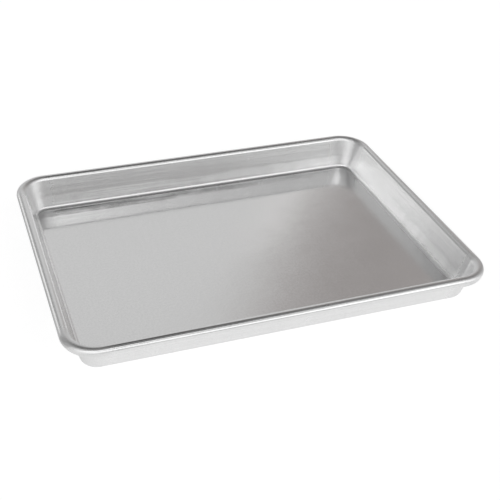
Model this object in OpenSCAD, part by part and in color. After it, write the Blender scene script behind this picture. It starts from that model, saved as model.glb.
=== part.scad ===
// Jelly roll pan: a shallow oblong baking tray drawn from one aluminium sheet.
// Its rim is rolled outwards over a steel wire that keeps the pan from warping.
// The pan stands on z = 0, with its length along x and its width along y.

/* [Tray] */
// Length over the rolled rim
pan_l = 328; // [180:1:600]
// Width over the rolled rim
pan_w = 241; // [140:1:420]
// Height from the table to the top of the rim
pan_h = 28; // [22:0.5:45]
// Thickness of the sheet
sheet_t = 1; // [0.6:0.1:1.5]
// Lean of the walls, away from upright
wall_lean = 16; // [6:1:24]
// Radius of the corners, over the rim
corner_r = 26; // [21:1:60]
// Radius of the bend between the floor and a wall, on the inside
floor_bend_r = 6; // [3:0.5:10]

/* [Rolled rim] */
// Diameter of the wire in the rim
wire_d = 5.8; // [3:0.1:7]
// Room between the wire and the sheet rolled round it
wire_room = 0.1; // [0.05:0.05:0.3]
// Gap between the sheet's rolled edge and the wall
edge_gap = 0.3; // [0.1:0.05:0.8]
// Gap between the two ends of the wire, at the middle of a long side
wire_end_gap = 1.5; // [0.5:0.1:4]

/* [Hidden] */

// Turn between two points on a bend of the sheet, and the least turn worth a point
bend_step = 9;
least_turn = 0.5;
// Faces round a full turn of the wire and of a corner
wire_fn = 40;
corner_fn = 48;

// Inside and outside radius of the roll
roll_in_r = wire_d / 2 + wire_room;
roll_out_r = roll_in_r + sheet_t;

// A wall's section is drawn out from the upright line through a corner's centre, and up
roll_x = corner_r - roll_out_r;
roll_z = pan_h - roll_out_r;

// A wall's inner face is a straight line that touches the outside of the roll.
// The centre of the bend into the floor lies as far inside that line as the bend's radius.
bend_z = sheet_t + floor_bend_r;
bend_x = roll_x - (roll_out_r + floor_bend_r + (roll_z - bend_z) * sin(wall_lean)) / cos(wall_lean);

// The roll starts at the wall, goes over the wire and ends below it, near the wall
roll_start = 180 - wall_lean;
roll_end = roll_start - 360 + acos((roll_in_r - edge_gap) / roll_out_r);

// Half the length and width of the rectangle on the corners' centres
half_l = pan_l / 2 - corner_r;
half_w = pan_w / 2 - corner_r;

echo(floor_length = 2 * (half_l + bend_x), floor_width = 2 * (half_w + bend_x));

function reversed(list) = [for (k = [len(list) - 1 : -1 : 0]) list[k]];

// Angles of the points on a bend from a to b: both ends, and each whole step between them
function stops(a, b) = a > b
    ? reversed(stops(b, a))
    : [a, for (c = [bend_step * (floor(a / bend_step) + 1) : bend_step : b - least_turn]) c, b];

function arc(centre, r, a, b) = [for (c = stops(a, b)) centre + r * [cos(c), sin(c)]];

// One face of the sheet from a corner's centre to the rolled edge, at a depth below its inner face.
// The wall's straight line joins the end of the bend to the start of the roll.
function face(depth) = concat(
    [[0, sheet_t - depth]],
    arc([bend_x, bend_z], floor_bend_r + depth, -90, -wall_lean),
    arc([roll_x, roll_z], roll_out_r - depth, roll_start, roll_end)
);

// Section of the sheet: floor, bend, wall and roll
module sheet_section() {
    polygon(concat(face(0), reversed(face(sheet_t))));
}

// Section of the wire
module wire_section() {
    translate([roll_x, roll_z]) circle(d = wire_d, $fn = wire_fn);
}

// Carries a section round the four corners
module round_corners() {
    for (sx = [0, 1], sy = [0, 1])
        mirror([sx, 0, 0]) mirror([0, sy, 0]) translate([half_l, half_w, 0])
            rotate_extrude(angle = 90, $fn = corner_fn) children();
}

// Carries a section along one side: half the side's length, and how far out the side lies
module along_side(half_run, out) {
    translate([-half_run, -out, 0]) rotate([90, 0, 90]) mirror([1, 0, 0])
        linear_extrude(2 * half_run) children();
}

// The drawn sheet: floor, walls and rolled rim in one piece
module pan_sheet() {
    color("#c9cac9") {
        round_corners() sheet_section();
        for (turn = [0, 180]) {
            rotate(turn) along_side(half_l, half_w) sheet_section();
            rotate(turn + 90) along_side(half_w, half_l) sheet_section();
        }
        translate([-half_l, -half_w, 0]) cube([2 * half_l, 2 * half_w, sheet_t]);
    }
}

// The wire in the rim: one length bent round the pan, its ends meeting behind
module rim_wire() {
    color("#8f9294") difference() {
        union() {
            round_corners() wire_section();
            for (turn = [0, 180]) {
                rotate(turn) along_side(half_l, half_w) wire_section();
                rotate(turn + 90) along_side(half_w, half_l) wire_section();
            }
        }
        translate([-wire_end_gap / 2, half_w, 0]) cube([wire_end_gap, corner_r, pan_h]);
    }
}

pan_sheet();
rim_wire();
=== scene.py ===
import math

import bpy
import numpy as np
from mathutils import Matrix, Vector


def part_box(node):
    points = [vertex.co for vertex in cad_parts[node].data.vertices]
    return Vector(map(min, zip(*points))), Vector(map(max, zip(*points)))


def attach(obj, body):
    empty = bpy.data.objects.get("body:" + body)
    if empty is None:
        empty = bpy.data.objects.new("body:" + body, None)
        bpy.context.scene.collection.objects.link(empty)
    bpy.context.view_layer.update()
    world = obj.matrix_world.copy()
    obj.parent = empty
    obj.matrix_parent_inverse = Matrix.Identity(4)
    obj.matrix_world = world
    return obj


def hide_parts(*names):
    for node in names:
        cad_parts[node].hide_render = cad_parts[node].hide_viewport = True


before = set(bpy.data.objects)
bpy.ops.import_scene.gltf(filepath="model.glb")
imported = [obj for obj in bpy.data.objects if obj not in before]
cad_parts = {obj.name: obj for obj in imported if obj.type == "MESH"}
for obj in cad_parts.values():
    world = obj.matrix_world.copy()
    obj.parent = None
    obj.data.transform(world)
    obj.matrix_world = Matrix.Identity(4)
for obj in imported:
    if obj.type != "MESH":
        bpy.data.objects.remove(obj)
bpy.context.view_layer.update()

# Sizes of the sheet, in metres
MM = 0.001
PAN_LOW, PAN_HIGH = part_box("pan_sheet")
PAN_LENGTH = PAN_HIGH.x - PAN_LOW.x
PAN_WIDTH = PAN_HIGH.y - PAN_LOW.y
PAN_HEIGHT = PAN_HIGH.z - PAN_LOW.z
SHEET = 1.0 * MM
LEAN = math.radians(16)
CORNER = 26.0 * MM
ROLL_IN = 3.0 * MM
ROLL = ROLL_IN + SHEET
EDGE_GAP = 0.3 * MM

# Inner radius of the bend at the floor. The photo shows a tighter bend than the construction holds.
BEND = 3.0 * MM

# Places in the wall's section: out from the line through the corners' centres, and up
ROLL_AT = (CORNER - ROLL, PAN_HEIGHT - ROLL)
BEND_UP = SHEET + BEND
BEND_OUT = ROLL_AT[0] - (ROLL + BEND + (ROLL_AT[1] - BEND_UP) * math.sin(LEAN)) / math.cos(LEAN)
ROLL_START = math.pi - LEAN
ROLL_END = ROLL_START - 2 * math.pi + math.acos((ROLL_IN - EDGE_GAP) / ROLL)
HALF_LENGTH = PAN_LENGTH / 2 - CORNER
HALF_WIDTH = PAN_WIDTH / 2 - CORNER

# How far out the wall's straight part starts, measured along the sheet
WALL_FROM = BEND_OUT + BEND * (math.pi / 2 - LEAN)

# Steps of the surface
CORNER_STEPS = 32
LENGTH_STEPS = 36
WIDTH_STEPS = 28
BEND_STEPS = 12
WALL_STEPS = 8
ROLL_STEPS = 44
EDGE_STEPS = 6

# The aluminium's roughness on the floor, on the walls and roll, in the bends and in the corners.
# Its marks add about 0.1 to each, in these shares.
FLOOR_ROUGH = 0.04
WALL_ROUGH = 0.14
BEND_ROUGH = 0.22
CORNER_ROUGH = 0.3
ROUGH_BY_SPOTS = 0.08
ROUGH_BY_SMEARS = 0.08
ROUGH_BY_LINES = 0.04
ROUGH_BY_SCRATCHES = 0.04

# How unevenly it smears what it mirrors, from 0 to 1: far along the blank's length, little across it
ANISOTROPY = 0.85

# Its colour lies between these, by a shade to which the marks add in these shares
ALUMINIUM_DARK = (0.75, 0.75, 0.75)
ALUMINIUM_LIGHT = (0.86, 0.86, 0.86)
SHADE_BY_LINES = 0.45
SHADE_BY_SMEARS = 0.25
SHADE_BY_SPOTS = 0.3

# The spots are dark in that shade below the first value of their noise, and light above the second
SPOTS_DARK, SPOTS_LIGHT = 0.35, 0.65

# The share of the grain that shows in the floor's colour, and of the rubbed lines in the walls'
FLOOR_GRAIN = 0.2
WALL_RUBBED = 0.6

# How fast its marks change, per metre: the lines across and along, the folds and waves round and up
GRAIN_RATE = (900.0, 14.0)
RUBBED_RATE = (350.0, 8.0)
FOLD_RATE = (220.0, 20.0)
WAVE_RATE = (50.0, 30.0)

# How wide its spots are, and how far apart its scratches and how much they slant, in radians
SPOT_SIZE = 1.6 * MM
SCRATCH_SPACING = 4 * MM
SCRATCH_SLANT = 0.5

# How deep its marks are
SMEAR_DEPTH = 0.1 * MM
FOLD_DEPTH = 0.1 * MM
RUBBED_DEPTH = 0.06 * MM
GRAIN_DEPTH = 0.005 * MM
SCRATCH_DEPTH = 0.001 * MM

# The walls' foot stands proud by its depth and eases off up the wall, lower where its wave is high
FOOT_DEPTH = 0.65 * MM
FOOT_FROM = WALL_FROM - 1 * MM
FOOT_TO = WALL_FROM + 14 * MM
FOOT_WAVE = 8 * MM

# The corners' marks start this far before the round and are full this far into it
CORNER_BEFORE = 10 * MM
CORNER_AFTER = 6 * MM

# The wire's zinc: its colours, its crystals per metre, the size and depth of its spots, and how much
# crystals and smears add to its shade and crystals and spots to its roughness
ZINC_DARK = (0.36, 0.37, 0.38)
ZINC_LIGHT = (0.56, 0.57, 0.58)
ZINC_CRYSTALS = 500.0
ZINC_SPOT_SIZE = 0.8 * MM
ZINC_SPOT_DEPTH = 0.05 * MM
ZINC_SHADE_BY_CRYSTALS = 0.5
ZINC_SHADE_BY_SMEARS = 0.5
ZINC_ROUGH_BY_CRYSTALS = 0.15
ZINC_ROUGH_BY_SPOTS = 0.5

# The photograph's camera, in degrees, millimetres of sensor and lens, shares of the frame and metres
SENSOR = 36
LENS = 64.886
SHIFT = (0.0852, -0.0188)
YAW, PITCH, ROLL_OVER = -19.339, 34.251, -1.864
CAMERA_AT = Vector((-0.22522, -0.56675, 0.42473))

# The table: half its side in metres, its paint, and its glow in front, behind and to the camera
TABLE_HALF = 6.0
TABLE_PAINT = 0.3
TABLE_GLOW = 0.72
TABLE_FAR_GLOW = 0.3
TABLE_SEEN_GLOW = 0.84

# The studio's light, where 1 is white: pale up to one height in degrees, and dark above the other
SURROUND = 0.68
OVERHEAD = 0.07
PALE_TO, DARK_FROM = 42, 54

# A panel holds its azimuth from +Y to +X, height, half width, half height and soft edge, in degrees,
# and where it leans, its lean. This one is the dim warm part of the room at the back right, which
# the floor mirrors as its darker wedge.
ROOM = (55, 33, 29, 16, 4.5, 0.36)
ROOM_STRENGTH = 0.36
ROOM_COLOUR = (1.0, 0.94, 0.92)

# The other panels, each with its strength
PANELS = (
    # A paler part of the dim room
    ((46, 33, 7, 16, 6), 0.5),
    # Straight overhead
    ((0, 90, 200, 9, 5), 0.5),
    # High on the right
    ((90, 60, 40, 10, 8), 0.25),
    # At the back left, mirrored by the bend along the right wall
    ((-37, 28, 25, 10, 5), 0.33),
    # Low on the left
    ((-76, 8, 30, 12, 5), 0.25),
    # Low at the back left
    ((-35, 8, 6, 9, 5), 1.3),
    # At the front left, mirrored by the top of the right wall by way of the back wall
    ((-134, 30, 41, 15, 6), 1.68),
    # At the front right
    ((140, 26, 30, 12, 6), 1.55),
    # Low in front, mirrored by the back wall
    ((180, 8, 60, 8, 4), 0.6),
    # Low at the front right, mirrored by the back left corner
    ((134, 8, 14, 8, 4), 1.1),
    # High at the front right
    ((130, 55, 20, 6, 4), 1.2),
    # A thin line of light on the left edge of the dim room
    ((25.2, 31, 0.6, 3, 1.0, 0.36), 1.0),
)

# Two strips above the front, mirrored by the floor by way of the back wall. They are measured about
# the x axis: the first number counts from -Y to +Z and the second from there towards +X.
STRIPS = (
    # The whole strip
    ((62.5, 14, 8.6, 30, 3, -0.2), 0.6),
    # Its bright left end
    ((58.1, -8, 8.6, 16, 2, -0.2), 1.6),
)


def arc(centre, radius, start, end, steps):
    """Points centre + radius (cos a, sin a), and the ways (cos a, sin a), for a from start to end."""
    a = np.linspace(start, end, steps + 1)
    out = np.stack([np.cos(a), np.sin(a)], axis=1)
    return np.array(centre) + radius * out, out


def run(start, end, steps):
    """Points between start and end, both left out, at equal steps of a straight line."""
    t = np.linspace(0, 1, steps + 1)[1:-1, None]
    return (1 - t) * start + t * end


def sheet_face(depth, side):
    """One face of the sheet, from the floor to the rolled edge, at a depth below its inner face.

    The points run round the bend into the wall, up the wall in a straight line, and round the roll.
    The normals point to the bend's centre on the first arc and away from the roll's on the second,
    times side, which is -1 on the sheet's outer face.
    """
    edge = (SHEET / 2) / (ROLL - SHEET / 2)
    bend, bend_way = arc((BEND_OUT, BEND_UP), BEND + depth, -math.pi / 2, -LEAN, BEND_STEPS)
    roll, roll_way = arc(ROLL_AT, ROLL - depth, ROLL_START, ROLL_END + edge, ROLL_STEPS)
    wall = run(bend[-1], roll[0], WALL_STEPS)
    wall_way = np.repeat(roll_way[:1], len(wall), axis=0)
    points = np.concatenate([bend, wall, roll])
    normals = side * np.concatenate([-bend_way, wall_way, roll_way])
    return points, normals


def sheet_section():
    """The sheet's outline: its inner face, a half-round edge, and its outer face back to the floor."""
    inner, inner_way = sheet_face(0.0, 1)
    outer, outer_way = sheet_face(SHEET, -1)
    middle = (inner[-1] + outer[-1]) / 2
    start = math.atan2(*(inner[-1] - middle)[::-1])
    edge, edge_way = arc(middle, SHEET / 2, start, start - math.pi, EDGE_STEPS)
    points = np.concatenate([inner, edge[1:-1], outer[::-1]])
    normals = np.concatenate([inner_way, edge_way[1:-1], outer_way[::-1]])
    return points, normals


def rim_path():
    """The corners' centres and the lines between them, once round, and the way out at each point."""
    centres, angles = [], []
    for k, (sx, sy) in enumerate([(1, 1), (-1, 1), (-1, -1), (1, -1)]):
        turn = np.linspace(k, k + 1, CORNER_STEPS + 1) * math.pi / 2
        here = np.array([sx * HALF_LENGTH, sy * HALF_WIDTH])
        there = here * ((-1, 1), (1, -1))[k % 2]
        side = run(here, there, (LENGTH_STEPS, WIDTH_STEPS)[k % 2])
        centres += [np.repeat(here[None], len(turn), axis=0), side]
        angles += [turn, np.full(len(side), turn[-1])]
    angles = np.concatenate(angles)
    return np.concatenate(centres), np.stack([np.cos(angles), np.sin(angles)], axis=1)


def grid_faces(index):
    """Quads between neighbours of a grid of vertex numbers."""
    a, b, c, d = index[:-1, :-1], index[:-1, 1:], index[1:, 1:], index[1:, :-1]
    return np.stack([a, b, c, d], axis=-1).reshape(-1, 4)


def floor_patch(ring):
    """The flat floor inside a ring of points, as a grid whose four edges are the ring.

    Each inner point is the blend of the four edges: the sum of the two ways across,
    less the blend of the four corner points, which that sum counts twice.
    """
    along, across = CORNER_STEPS + LENGTH_STEPS, CORNER_STEPS + WIDTH_STEPS
    order = (np.arange(len(ring)) + CORNER_STEPS // 2) % len(ring)
    back, left, front, right = np.split(order, [along, along + across, 2 * along + across])
    index = np.full((along + 1, across + 1), -1)
    index[:-1, 0], index[-1, :-1] = back, left
    index[1:, -1], index[0, 1:] = front[::-1], right[::-1]
    edge = ring[index]
    u = np.linspace(0, 1, along + 1)[:, None, None]
    v = np.linspace(0, 1, across + 1)[None, :, None]
    ways = (1 - u) * edge[:1] + u * edge[-1:] + (1 - v) * edge[:, :1] + v * edge[:, -1:]
    first = (1 - v) * edge[0, 0] + v * edge[0, -1]
    last = (1 - v) * edge[-1, 0] + v * edge[-1, -1]
    corners = (1 - u) * first + u * last
    return index, (ways - corners)[1:-1, 1:-1]


def make_piece(name, points, faces, normals, maps):
    """A smooth mesh from whole arrays of points, quads and normals, and of flat maps by face corner."""
    mesh = bpy.data.meshes.new(name)
    mesh.from_pydata(points.tolist(), [], faces.tolist())
    mesh.shade_smooth()
    for title, values in maps.items():
        mesh.uv_layers.new(name=title).uv.foreach_set("vector", values.astype(np.float32).ravel())
    mesh.normals_split_custom_set_from_vertices(normals.tolist())
    piece = bpy.data.objects.new(name, mesh)
    bpy.context.scene.collection.objects.link(piece)
    return piece


def drawn_sheet():
    """The sheet: its section carried round the rim path, and the floor filled in above and below.

    A point of the section lies at the path's point, plus its first number along the way out,
    and its second up. The flat map "blank" holds where each point lay in the flat sheet before
    it was drawn, in metres. The flat map "round" holds how far round the rim and how far out
    along the section it lies.
    """
    section, section_way = sheet_section()
    centres, ways = rim_path()
    n, m = len(centres), len(section)
    out, up = section[:, 0][None, :, None], section[:, 1][None, :, None]
    flat = centres[:, None] + ways[:, None] * out
    points = np.concatenate([flat, np.broadcast_to(up, (n, m, 1))], axis=2)
    normals = np.concatenate([
        ways[:, None] * section_way[:, 0][None, :, None],
        np.broadcast_to(section_way[:, 1][None, :, None], (n, m, 1)),
    ], axis=2)

    steps = np.linalg.norm(np.diff(section, axis=0), axis=1)
    spread = section[0, 0] + np.concatenate([[0], np.cumsum(steps)])
    half = m // 2
    spread[half:] = spread[half] - (spread[half:] - spread[half])
    blank = centres[:, None] + ways[:, None] * spread[None, :, None]
    rim_run = np.linalg.norm(np.diff(blank[:, half], axis=0, append=blank[:1, half]), axis=1)
    round_at = np.concatenate([[0], np.cumsum(rim_run)])
    round_map = np.stack(np.meshgrid(round_at, spread, indexing="ij"), axis=2)

    index = np.arange(n * m).reshape(n, m)
    wrapped = np.concatenate([index, index[:1]])
    faces = [grid_faces(wrapped)]
    corners = grid_faces(np.arange((n + 1) * m).reshape(n + 1, m))
    blank_wrapped = np.concatenate([blank, blank[:1]]).reshape(-1, 2)
    blanks = [blank_wrapped[corners]]
    rounds = [round_map.reshape(-1, 2)[corners]]
    points, normals = [points.reshape(-1, 3)], [normals.reshape(-1, 3)]

    for column, way in ((0, 1), (m - 1, -1)):
        ring = points[0].reshape(n, m, 3)[:, column]
        grid, inner = floor_patch(ring)
        rows, columns = inner.shape[:2]
        numbers = index[:, column][grid]
        start = sum(map(len, points))
        numbers[1:-1, 1:-1] = start + np.arange(rows * columns).reshape(rows, columns)
        points.append(inner.reshape(-1, 3))
        normals.append(np.tile([0.0, 0.0, float(way)], (rows * columns, 1)))
        quads = grid_faces(numbers)
        faces.append(quads[:, ::-1] if way > 0 else quads)
    points, normals = np.concatenate(points), np.concatenate(normals)
    for quads in faces[1:]:
        blanks.append(points[quads][..., :2])
        rounds.append(np.broadcast_to([0.0, spread[0]], (*quads.shape, 2)))
    faces = np.concatenate(faces)
    maps = {"blank": np.concatenate(blanks), "round": np.concatenate(rounds)}
    return make_piece("pan", points, faces, normals, maps)


# Shader helpers


def feed(tree, socket, value):
    """Links the socket to value where value is a socket, and else sets it."""
    if isinstance(value, bpy.types.NodeSocket):
        tree.links.new(value, socket)
    else:
        socket.default_value = value


def add_node(tree, kind, *values, settings=None, **named):
    """A new node of a kind, with values for its first sockets in order, and for others by name.

    In a name, _ stands for a space.
    """
    node = tree.nodes.new("ShaderNode" + kind)
    for key, value in (settings or {}).items():
        setattr(node, key, value)
    for socket, value in zip(node.inputs, values):
        feed(tree, socket, value)
    for key, value in named.items():
        feed(tree, node.inputs[key.replace("_", " ")], value)
    return node


def calc(tree, operation, *values):
    """What a Math node makes of the values."""
    return add_node(tree, "Math", *values, settings={"operation": operation}).outputs[0]


def product(tree, first, *others):
    """The values times each other."""
    for value in others:
        first = calc(tree, "MULTIPLY", first, value)
    return first


def weighted(tree, *parts):
    """The sum of values, each times its weight."""
    whole = product(tree, *parts[0])
    for part in parts[1:]:
        whole = calc(tree, "ADD", whole, product(tree, *part))
    return whole


def blend(tree, share, one, other):
    """One where share is 0, other where it is 1: one plus share times what other has more."""
    return calc(tree, "ADD", one, product(tree, calc(tree, "SUBTRACT", other, one), share))


def ramp(tree, value, low, high, to_low=0.0, to_high=1.0):
    """Goes smoothly from to_low to to_high as value goes from low to high, and stays level outside."""
    smooth = {"interpolation_type": "SMOOTHSTEP"}
    node = add_node(tree, "MapRange", value, low, high, to_low, to_high, settings=smooth)
    return node.outputs["Result"]


def noise(tree, place, scale, detail=2.0):
    """Cloudy noise near 0.5, which changes about scale times for each step of 1 in the place."""
    return add_node(tree, "TexNoise", Vector=place, Scale=scale, Detail=detail).outputs["Fac"]


def stretched(tree, place, across, along):
    """The place with its first number times across and its second times along."""
    node = add_node(tree, "VectorMath", place, settings={"operation": "MULTIPLY"})
    feed(tree, node.inputs[1], add_node(tree, "CombineXYZ", across, along, 1.0).outputs[0])
    return node.outputs[0]


def new_group(name, outputs, **inputs):
    """A new node group: its tree, the sockets that bring its inputs, and those that take its outputs."""
    tree = bpy.data.node_groups.new(name, "ShaderNodeTree")
    for title, kind in inputs.items():
        tree.interface.new_socket(title, in_out="INPUT", socket_type="NodeSocket" + kind)
    for title in outputs:
        tree.interface.new_socket(title, in_out="OUTPUT", socket_type="NodeSocketFloat")
    return tree, tree.nodes.new("NodeGroupInput").outputs, tree.nodes.new("NodeGroupOutput").inputs


def use_group(tree, group, **named):
    """The outputs of a group that is placed in a material's tree with its own values."""
    node = add_node(tree, "Group", settings={"node_tree": group})
    for key, value in named.items():
        feed(tree, node.inputs[key], value)
    return node.outputs


# Effects that the finishes share


def line_grain_group():
    """Long fine lines, as rolling or drawing leaves them: noise that is fast across and slow along.

    Two widths are added, the wide one eight times the fine one, and the range that their sum
    mostly keeps to is spread over 0 to 1.
    """
    least, most = 0.65, 1.35
    tree, given, put = new_group("line_grain", ["Value"], Place="Vector", Across="Float", Along="Float")
    place = stretched(tree, given["Place"], given["Across"], given["Along"])
    both = calc(tree, "ADD", noise(tree, place, 1.0), noise(tree, place, 1 / 8))
    feed(tree, put["Value"], ramp(tree, both, least, most))
    return tree


def scratches_group():
    """Thin slanting scratches: where a stretched noise crosses its middle, in a wide noise's patches.

    They are twenty times as long as their spacing. Their half width is how far the first noise goes
    from its middle. Between two values of the wide noise, the patches go from no scratches to all.
    """
    half_width = 0.012
    patch_none, patch_all = 0.52, 0.62
    patch_rate = 0.35
    tree, given, put = new_group("scratches", ["Mask"], Place="Vector", Turn="Float", Spacing="Float")
    turn = {"rotation_type": "Z_AXIS"}
    turned = add_node(tree, "VectorRotate", Vector=given["Place"], Angle=given["Turn"], settings=turn)
    turned = turned.outputs[0]
    rate = calc(tree, "DIVIDE", 1.0, given["Spacing"])
    place = stretched(tree, turned, rate, product(tree, rate, 1 / 20))
    off_middle = calc(tree, "ABSOLUTE", calc(tree, "SUBTRACT", noise(tree, place, 1.0, 0.0), 0.5))
    line = ramp(tree, off_middle, half_width, 0.0)
    wide = noise(tree, stretched(tree, turned, rate, rate), patch_rate, 1.0)
    feed(tree, put["Mask"], product(tree, line, ramp(tree, wide, patch_none, patch_all)))
    return tree


def mottle_group():
    """Small cloudy spots of a given size, and soft smears twenty times as wide, both near 0.5."""
    tree, given, put = new_group("mottle", ["Spots", "Smears"], Place="Vector", Size="Float")
    rate = calc(tree, "DIVIDE", 1.0, given["Size"])
    feed(tree, put["Spots"], noise(tree, given["Place"], rate, 1.0))
    feed(tree, put["Smears"], noise(tree, given["Place"], product(tree, rate, 1 / 20), 3.0))
    return tree


LINE_GRAIN = line_grain_group()
SCRATCHES = scratches_group()
MOTTLE = mottle_group()


# The pan's finishes


def bare_metal(name):
    """A new material of bare metal, with its tree and its shader's sockets."""
    material = bpy.data.materials.new(name)
    material.use_nodes = True
    tree = material.node_tree
    shader = tree.nodes["Principled BSDF"].inputs
    shader["Metallic"].default_value = 1
    return material, tree, shader


def bumped(tree, *layers):
    """The normal that the layers leave, each a height from 0 to 1 and the depth that it stands for."""
    normal = None
    for height, depth in layers:
        node = add_node(tree, "Bump", Height=height, Distance=depth)
        if normal is not None:
            feed(tree, node.inputs["Normal"], normal)
        normal = node.outputs["Normal"]
    return normal


def tint(tree, value, dark, light):
    """A colour between two, by a value from 0 to 1."""
    node = add_node(tree, "ValToRGB", value)
    for stop, colour in zip(node.color_ramp.elements, (dark, light)):
        stop.color = (*colour, 1)
    return node.outputs["Color"]


def map_place(tree, name):
    """Where a point lies in one of the piece's flat maps."""
    return add_node(tree, "UVMap", settings={"uv_map": name}).outputs["UV"]


def line_grain(tree, place, rate):
    """The shared line grain, with its rates across and along the place."""
    return use_group(tree, LINE_GRAIN, Place=place, Across=rate[0], Along=rate[1])["Value"]


def sheet_material():
    """Rolled aluminium: grooves along the blank's width, which smear mirror images along its length.

    The blank's map carries what was there before the sheet was drawn: grain, mottling and scratches.
    The rim's map carries what the drawing did: rubbed lines round the walls, upright folds in the
    corners, and a wavy foot that stands a little proud above the bend. The bends and the corners
    are rougher than the floor and the walls.
    """
    material, tree, shader = bare_metal("rolled_aluminium")
    along_blank = {"direction_type": "UV_MAP", "uv_map": "blank"}
    feed(tree, shader["Tangent"], add_node(tree, "Tangent", settings=along_blank).outputs[0])
    feed(tree, shader["Anisotropic"], ANISOTROPY)
    blank = map_place(tree, "blank")
    rim = map_place(tree, "round")
    round_at, out = add_node(tree, "SeparateXYZ", rim).outputs[:2]
    x, y = add_node(tree, "SeparateXYZ", add_node(tree, "TexCoord").outputs["Object"]).outputs[:2]

    # Where the walls, the bends and the corners are, each with soft edges
    wall = ramp(tree, out, WALL_FROM - 2 * MM, WALL_FROM + 2 * MM)
    bend = product(
        tree,
        ramp(tree, out, BEND_OUT, BEND_OUT + MM),
        ramp(tree, out, WALL_FROM + 2 * MM, WALL_FROM - MM),
    )
    corner = product(
        tree,
        ramp(tree, calc(tree, "ABSOLUTE", x), HALF_LENGTH - CORNER_BEFORE, HALF_LENGTH + CORNER_AFTER),
        ramp(tree, calc(tree, "ABSOLUTE", y), HALF_WIDTH - CORNER_BEFORE, HALF_WIDTH + CORNER_AFTER),
    )

    # The marks, each from 0 to 1
    grain = line_grain(tree, blank, GRAIN_RATE)
    rubbed = line_grain(tree, add_node(tree, "CombineXYZ", out, round_at).outputs[0], RUBBED_RATE)
    folds = noise(tree, stretched(tree, rim, *FOLD_RATE), 1.0)
    waves = noise(tree, stretched(tree, rim, *WAVE_RATE), 1.0, 1.0)
    foot = ramp(tree, calc(tree, "ADD", out, product(tree, waves, FOOT_WAVE)), FOOT_TO, FOOT_FROM)
    spots, smears = use_group(tree, MOTTLE, Place=blank, Size=SPOT_SIZE)[:2]
    scratched = use_group(tree, SCRATCHES, Place=blank, Turn=SCRATCH_SLANT, Spacing=SCRATCH_SPACING)
    scratches = product(tree, scratched["Mask"], calc(tree, "SUBTRACT", 1.0, wall))

    # What they do to the colour, the roughness and the normal
    grain_shown = blend(tree, wall, blend(tree, FLOOR_GRAIN, 0.5, grain), grain)
    lines = blend(tree, product(tree, wall, WALL_RUBBED), grain_shown, rubbed)
    shade = weighted(
        tree,
        (lines, SHADE_BY_LINES),
        (smears, SHADE_BY_SMEARS),
        (ramp(tree, spots, SPOTS_DARK, SPOTS_LIGHT), SHADE_BY_SPOTS),
    )
    marks = weighted(
        tree,
        (spots, ROUGH_BY_SPOTS),
        (smears, ROUGH_BY_SMEARS),
        (lines, ROUGH_BY_LINES),
        (scratches, ROUGH_BY_SCRATCHES),
    )
    base = blend(tree, bend, blend(tree, wall, FLOOR_ROUGH, WALL_ROUGH), BEND_ROUGH)
    base = blend(tree, product(tree, corner, wall), base, CORNER_ROUGH)
    feed(tree, shader["Base Color"], tint(tree, shade, ALUMINIUM_DARK, ALUMINIUM_LIGHT))
    feed(tree, shader["Roughness"], calc(tree, "ADD", marks, base))
    feed(tree, shader["Normal"], bumped(
        tree,
        (smears, SMEAR_DEPTH),
        (foot, FOOT_DEPTH),
        (product(tree, folds, corner, wall), FOLD_DEPTH),
        (product(tree, rubbed, wall), RUBBED_DEPTH),
        (grain, GRAIN_DEPTH),
        (scratches, -SCRATCH_DEPTH),
    ))
    return material


def wire_material():
    """Galvanised wire: crystals of zinc as cells of slightly different greys, and dull spots."""
    material, tree, shader = bare_metal("zinc_coat")
    place = add_node(tree, "TexCoord").outputs["Object"]
    cells = add_node(tree, "TexVoronoi", Vector=place, Scale=ZINC_CRYSTALS).outputs["Color"]
    cell = add_node(tree, "SeparateColor", cells).outputs[0]
    spots, smears = use_group(tree, MOTTLE, Place=place, Size=ZINC_SPOT_SIZE)[:2]
    shade = weighted(tree, (cell, ZINC_SHADE_BY_CRYSTALS), (smears, ZINC_SHADE_BY_SMEARS))
    rough = weighted(tree, (cell, ZINC_ROUGH_BY_CRYSTALS), (spots, ZINC_ROUGH_BY_SPOTS))
    feed(tree, shader["Base Color"], tint(tree, shade, ZINC_DARK, ZINC_LIGHT))
    feed(tree, shader["Roughness"], rough)
    feed(tree, shader["Normal"], bumped(tree, (spots, ZINC_SPOT_DEPTH)))
    return material


# The pan, with its finishes

pan = drawn_sheet()
pan.data.materials.append(sheet_material())
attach(pan, "root")
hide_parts("pan_sheet")

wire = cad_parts["rim_wire"]
wire.data.materials.clear()
wire.data.materials.append(wire_material())


# The studio


def table():
    """A wide white table top. Part of its white is its own glow, so the pan's shadow on it stays faint.

    What the metal mirrors of it is bright in front of the pan and dimmer beside and behind it.
    """
    far = TABLE_HALF
    corners = [(-far, -far, 0), (far, -far, 0), (far, far, 0), (-far, far, 0)]
    mesh = bpy.data.meshes.new("table")
    mesh.from_pydata(corners, [], [(0, 1, 2, 3)])
    piece = bpy.data.objects.new("table", mesh)
    bpy.context.scene.collection.objects.link(piece)
    material = bpy.data.materials.new("white_table")
    material.use_nodes = True
    tree = material.node_tree
    tree.nodes.remove(tree.nodes["Principled BSDF"])
    paint = add_node(tree, "BsdfDiffuse", Color=(TABLE_PAINT, TABLE_PAINT, TABLE_PAINT, 1))
    seen = add_node(tree, "LightPath").outputs["Is Camera Ray"]
    depth = add_node(tree, "SeparateXYZ", add_node(tree, "TexCoord").outputs["Object"]).outputs["Y"]
    lit = ramp(tree, depth, PAN_LOW.y, 0.0, TABLE_GLOW, TABLE_FAR_GLOW)
    glow = add_node(tree, "Emission", Strength=blend(tree, seen, lit, TABLE_SEEN_GLOW))
    both = add_node(tree, "AddShader", paint.outputs[0], glow.outputs[0])
    feed(tree, tree.nodes["Material Output"].inputs["Surface"], both.outputs[0])
    mesh.materials.append(material)


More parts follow.
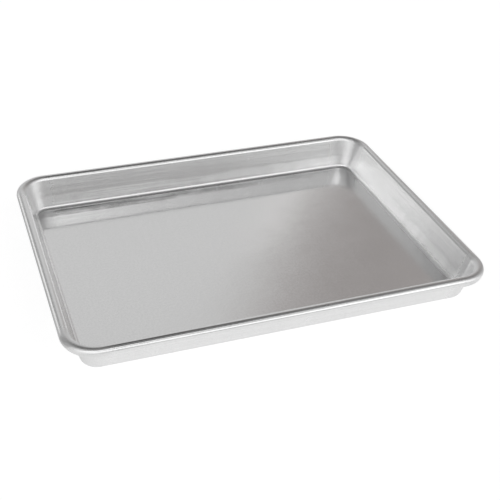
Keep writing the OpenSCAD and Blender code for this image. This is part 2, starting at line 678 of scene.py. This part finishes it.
def camera():
    """The photograph's camera: its place, its turns from looking along +Y, and its framing's shift."""
    data = bpy.data.cameras.new("camera")
    data.sensor_width = SENSOR
    data.lens = LENS
    data.shift_x, data.shift_y = SHIFT
    yaw, pitch, roll = (math.radians(angle) for angle in (YAW, PITCH, ROLL_OVER))
    ahead = Vector((-math.sin(yaw) * math.cos(pitch), math.cos(yaw) * math.cos(pitch), -math.sin(pitch)))
    level = Vector((math.cos(yaw), math.sin(yaw), 0))
    below = ahead.cross(level)
    right = math.cos(roll) * level + math.sin(roll) * below
    down = -math.sin(roll) * level + math.cos(roll) * below
    piece = bpy.data.objects.new("camera", data)
    turn = Matrix((right, -down, -ahead)).transposed().to_4x4()
    piece.matrix_world = Matrix.Translation(CAMERA_AT) @ turn
    bpy.context.scene.collection.objects.link(piece)
    bpy.context.scene.camera = piece


def panel_mask(tree, sky, azimuth, height, half_width, half_height, edge, lean=0.0):
    """1 inside a soft-edged panel of the sky and 0 outside, all its measures in degrees.

    The azimuth counts from +Y to +X and the height from the horizon. The panel leans towards
    smaller azimuths with height: lean is how far for each degree up.
    """
    azimuth, height, half_width, half_height, edge = map(
        math.radians, (azimuth, height, half_width, half_height, edge))
    turn = {"rotation_type": "Z_AXIS"}
    turned = add_node(tree, "VectorRotate", Vector=sky, Angle=azimuth, settings=turn)
    x, y, z = add_node(tree, "SeparateXYZ", turned.outputs[0]).outputs
    above = calc(tree, "SUBTRACT", calc(tree, "ARCSINE", z), height)
    aside = calc(tree, "ADD", calc(tree, "ARCTAN2", x, y), product(tree, above, lean))
    across = ramp(tree, calc(tree, "ABSOLUTE", aside), half_width + edge, half_width - edge)
    upright = ramp(tree, calc(tree, "ABSOLUTE", above), half_height + edge, half_height - edge)
    return product(tree, across, upright)


def studio():
    """Soft light from a pale low surround, dark overhead, and panels, each laid over those before it.

    The strips are panels too, in a sky that is tipped so that +Z takes the place of +X, -Y that
    of +Y and +X that of +Z. What the camera sees past the table is plain white.
    """
    world = bpy.data.worlds.new("studio")
    bpy.context.scene.world = world
    world.use_nodes = True
    tree = world.node_tree
    tree.nodes.clear()
    sky = add_node(tree, "TexCoord").outputs["Generated"]
    x, y, z = add_node(tree, "SeparateXYZ", sky).outputs
    tipped = add_node(tree, "CombineXYZ", z, calc(tree, "MULTIPLY", y, -1.0), x).outputs[0]
    height = calc(tree, "ARCSINE", z)
    level = ramp(tree, height, math.radians(PALE_TO), math.radians(DARK_FROM), SURROUND, OVERHEAD)
    room = panel_mask(tree, sky, *ROOM)
    level = blend(tree, room, level, ROOM_STRENGTH)
    for around, panels in ((sky, PANELS), (tipped, STRIPS)):
        for panel, strength in panels:
            level = blend(tree, panel_mask(tree, around, *panel), level, strength)
    colour = tint(tree, room, (1, 1, 1), ROOM_COLOUR)
    light = add_node(tree, "Background", Color=colour, Strength=level)
    white = add_node(tree, "Background", Color=(1, 1, 1, 1), Strength=1.0)
    seen = add_node(tree, "LightPath").outputs["Is Camera Ray"]
    both = add_node(tree, "MixShader", seen, light.outputs[0], white.outputs[0])
    add_node(tree, "OutputWorld", Surface=both.outputs[0])


table()
camera()
studio()
bpy.context.scene.view_settings.view_transform = "Standard"
